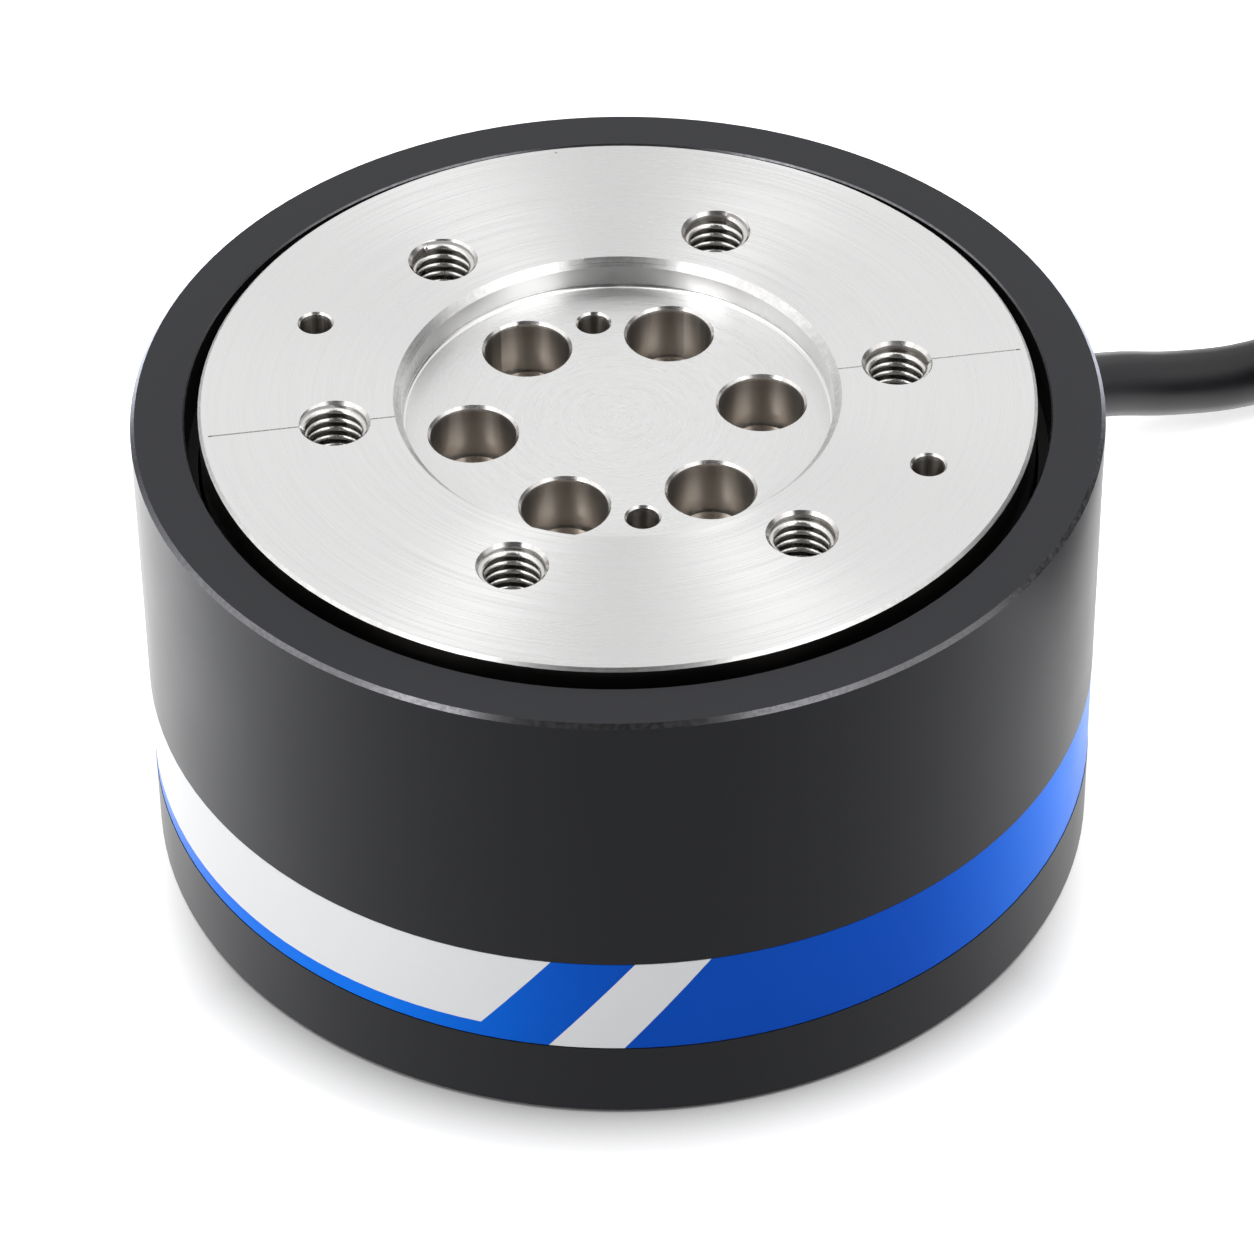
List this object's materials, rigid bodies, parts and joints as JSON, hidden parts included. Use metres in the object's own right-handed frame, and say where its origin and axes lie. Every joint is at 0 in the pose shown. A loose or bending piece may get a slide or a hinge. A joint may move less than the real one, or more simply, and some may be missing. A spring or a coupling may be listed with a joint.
{
  "type": "force torque sensor",
  "caption": "Round force torque sensor for a robot wrist: a turned tool flange set in a black housing with a striped band, and a cable that ends in a round plug.",
  "frame": {"origin": "centre of the robot-side face, which the sensor stands on", "axes": "+Z from the robot side to the tool side along the sensor's axis; +X through a threaded tool hole and a scribed line on the flange"},
  "size_m": [0.2229, 0.1295, 0.0485],
  "materials": {
    "black_anodised": "black anodised aluminium, fine bead-blast grain",
    "label_white": "white polyester film with a clear satin cover",
    "label_blue": "blue print under the same cover film",
    "seal_rubber": "soft black rubber",
    "machined_flange": "turned faces with fine concentric tool marks",
    "screw_steel": "stainless steel, turned",
    "dark_steel": "hardened steel, dark oxide",
    "element_aluminium": "milled spring aluminium",
    "gauge_foil": "foil gauges on an amber carrier",
    "flex_polyimide": "amber polyimide flat leads",
    "board_green": "green solder mask",
    "chip_black": "black moulded packages",
    "connector_cream": "cream moulded nylon",
    "wire_red": "insulated hook-up wire",
    "gland_metal": "nickel-plated, darkened",
    "cable_black": "satin black polyurethane jacket",
    "relief_black": "moulded black rubber",
    "strap_fabric": "black woven hook-and-loop strap",
    "plug_black": "moulded black plug body",
    "plug_nickel": "nickel-plated, knurled",
    "contact_gold": "gold-plated contacts"
  },
  "bodies": {
    "root": {"housing": "black_anodised", "label_film": "label_white", "label_print": "label_blue", "gap_seal": "seal_rubber", "tool_flange": "machined_flange", "hub_screws": "screw_steel", "hub_dowel_pins": "dark_steel", "sensing_element": "element_aluminium", "overload_pins": "dark_steel", "strain_gauges": "gauge_foil", "gauge_flex": "flex_polyimide", "base_plate": "black_anodised", "base_seal": "seal_rubber", "rim_screws": "screw_steel", "housing_screws": "dark_steel", "circuit_board": "board_green", "board_standoffs": "screw_steel", "board_screws": "screw_steel", "board_chips": "chip_black", "board_connector": "connector_cream", "lead_wires": "wire_red", "gland_gasket": "seal_rubber", "gland_body": "gland_metal", "strain_relief": "relief_black", "cable": "cable_black", "cable_coil": "cable_black", "cable_tail": "cable_black", "coil_straps": "strap_fabric", "plug_body": "plug_black", "plug_nut": "plug_nickel", "plug_insert": "plug_black", "plug_pins": "contact_gold"}
  },
  "joints": []
}
